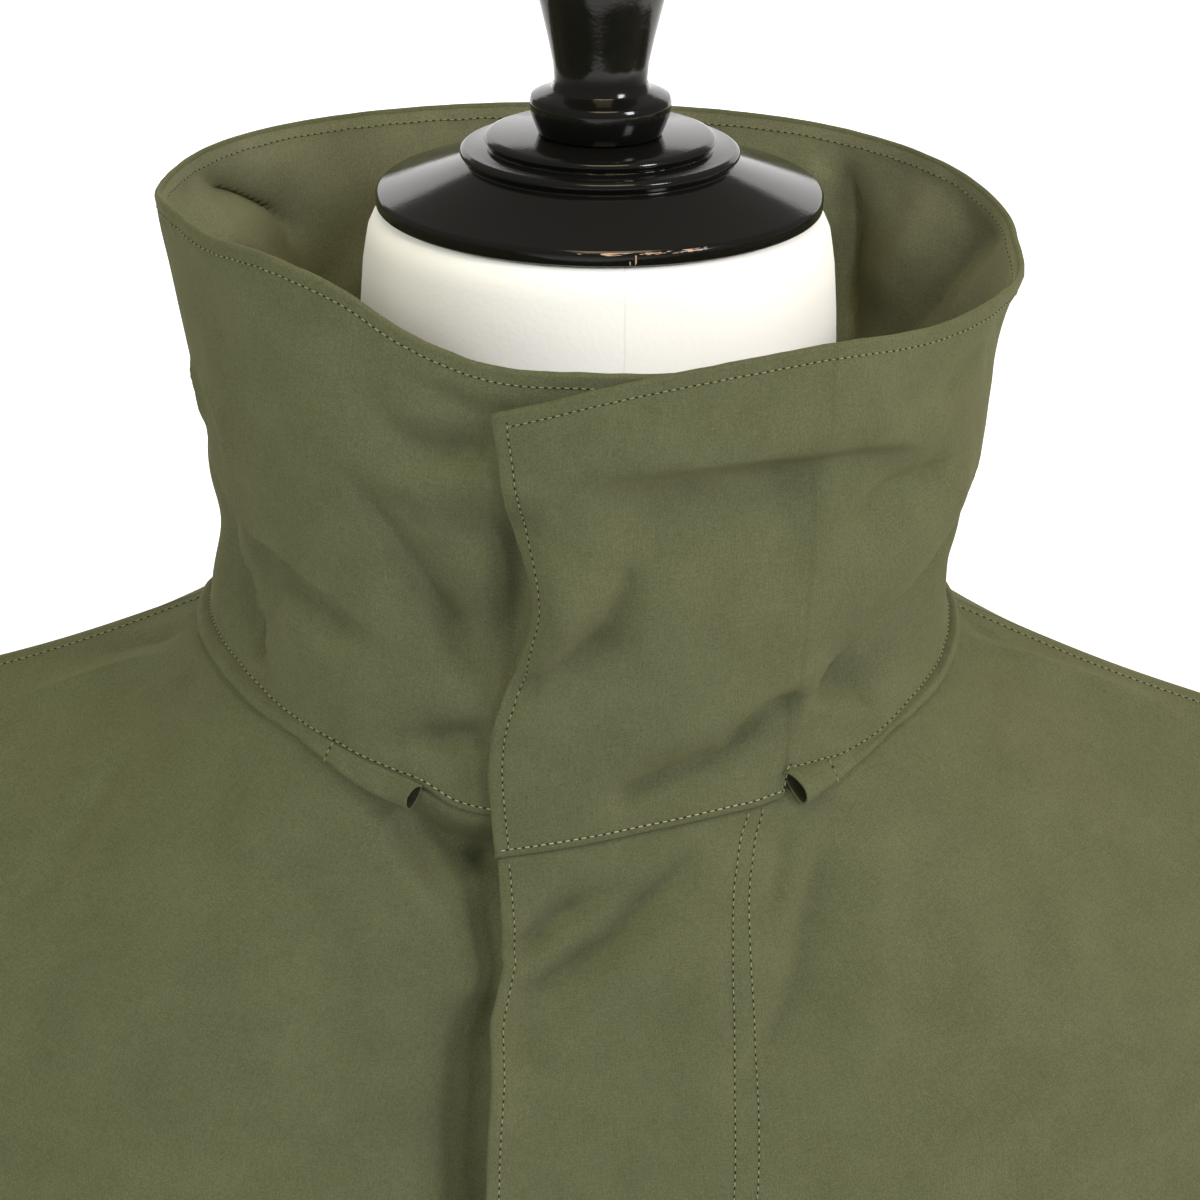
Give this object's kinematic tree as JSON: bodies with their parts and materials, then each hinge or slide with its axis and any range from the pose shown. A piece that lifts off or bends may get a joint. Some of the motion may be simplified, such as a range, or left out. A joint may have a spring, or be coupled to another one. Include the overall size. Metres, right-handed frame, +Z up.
{
  "type": "field jacket on a dress form",
  "caption": "Olive cotton field jacket with a tall lapped stand collar and a cord channel round its neck, worn by a limbless dress form on a round-footed stand.",
  "frame": {"origin": "on the floor, under the middle of the round foot and of the form's neck", "axes": "+Z up along the pole; the jacket's front faces -Y; the wearer's left is +X"},
  "size_m": [0.5968, 0.35, 1.0578],
  "materials": {
    "olive_cotton": "matt, tightly woven olive cotton",
    "cream_felt": "napped cream wool felt",
    "black_lacquer": "gloss black lacquer on turned wood",
    "black_steel": "satin black enamel"
  },
  "bodies": {
    "root": {"front_left": "olive_cotton", "front_right": "olive_cotton", "back": "olive_cotton", "sleeve_left": "olive_cotton", "sleeve_right": "olive_cotton", "collar": "olive_cotton", "neck_channel": "olive_cotton", "torso": "cream_felt", "neck_cap": "black_lacquer", "finial": "black_lacquer", "stand_pole": "black_steel", "stand_foot": "black_steel"}
  },
  "joints": []
}
